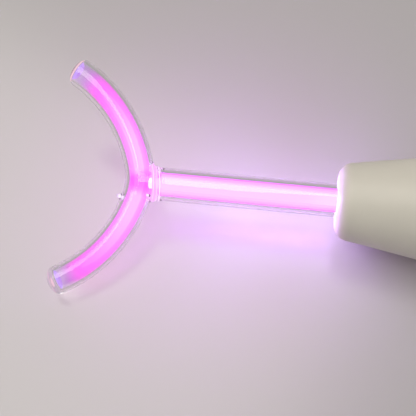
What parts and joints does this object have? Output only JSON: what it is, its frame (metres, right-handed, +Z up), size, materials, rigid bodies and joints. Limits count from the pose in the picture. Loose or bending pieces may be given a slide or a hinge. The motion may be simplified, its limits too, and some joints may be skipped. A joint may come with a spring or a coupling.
{
  "type": "violet ray machine",
  "caption": "Hand-held high-frequency coil in a tapered ivory handle, with a plug-in forked glass gas-discharge electrode, an output knob and a cord inlet at the rear.",
  "frame": {"origin": "middle of the whole length, under the machine's axis, on the surface that the machine lies on", "axes": "+X along the machine from the glass fork to the knob, +Y to the side, +Z up out of the surface it lies on"},
  "size_m": [0.3194, 0.0747, 0.0413],
  "materials": {
    "glass": "clear lamp glass, lit inside by a pink and violet gas discharge",
    "nickel": "nickel plate",
    "brass": "turned brass",
    "insulator": "moulded insulator",
    "spring_steel": "spring steel",
    "ivory_plastic": "satin ivory moulding",
    "fibre_board": "vulcanised fibre",
    "paper_tube": "varnished paper",
    "copper_wire": "enamelled copper wire",
    "waxed_card": "waxed card",
    "felt": "felt",
    "soft_iron": "soft iron",
    "brown_phenolic": "brown phenolic",
    "contact_metal": "tungsten",
    "black_phenolic": "polished black phenolic",
    "black_rubber": "black rubber"
  },
  "bodies": {
    "handpiece": {"tie_rods": "nickel", "output_stud": "brass", "insert_nuts": "brass", "reed_screws": "brass", "spindle_nut": "brass", "terminal_screws": "brass", "socket_bush": "insulator", "contact_spring": "spring_steel", "nose_cone": "ivory_plastic", "barrel": "ivory_plastic", "rear_cap": "ivory_plastic", "front_bulkhead": "fibre_board", "middle_bulkhead": "fibre_board", "rear_bulkhead": "fibre_board", "coil_former": "paper_tube", "coil_sleeve": "paper_tube", "secondary_winding": "copper_wire", "primary_winding": "copper_wire", "magnet_winding": "copper_wire", "condenser": "waxed_card", "condenser_pad": "felt", "magnet_yoke": "soft_iron", "magnet_core": "soft_iron", "reed_post": "soft_iron", "reed_clamp": "soft_iron", "magnet_bobbin": "brown_phenolic", "terminal_block": "brown_phenolic", "cord_gland": "black_rubber"},
    "electrode": {"glass_electrode": "glass", "electrode_cap": "nickel"},
    "socket": {"socket_sleeve": "brass"},
    "knob": {"control_knob": "black_phenolic", "knob_insert": "brass", "knob_clip": "spring_steel"},
    "spindle": {"adjusting_spindle": "brass", "fixed_contact": "contact_metal"},
    "armature": {"reed_spring": "spring_steel", "armature_plate": "soft_iron", "moving_contact": "contact_metal"}
  },
  "joints": [
    {"name": "electrode_turn", "type": "hinge", "parent": "handpiece", "child": "socket", "pos_m": [-0.04, 0, 0.0203], "axis": [-1, 0, 0], "continuous": true},
    {"name": "electrode_pull", "type": "slide", "parent": "socket", "child": "electrode", "axis": [-1, 0, 0], "range_m": [0, 0.045]},
    {"name": "knob_turn", "type": "hinge", "parent": "handpiece", "child": "knob", "pos_m": [0.15, 0, 0.0238], "axis": [-1, 0, 0], "range_deg": [-150, 150]},
    {"name": "spindle_feed", "type": "slide", "parent": "knob", "child": "spindle", "axis": [-1, 0, 0], "range_m": [-0.000416, 0.000416]},
    {"name": "armature_swing", "type": "hinge", "parent": "handpiece", "child": "armature", "pos_m": [0.10917, 0, 0.01055], "axis": [0, -1, 0], "range_deg": [0, 2.4], "stiffness_Nm_per_rad": 0.12}
  ],
  "couplings": [
    {"joint": "knob_turn", "follows": "spindle_feed", "rad_per_m": 6283.2}
  ]
}
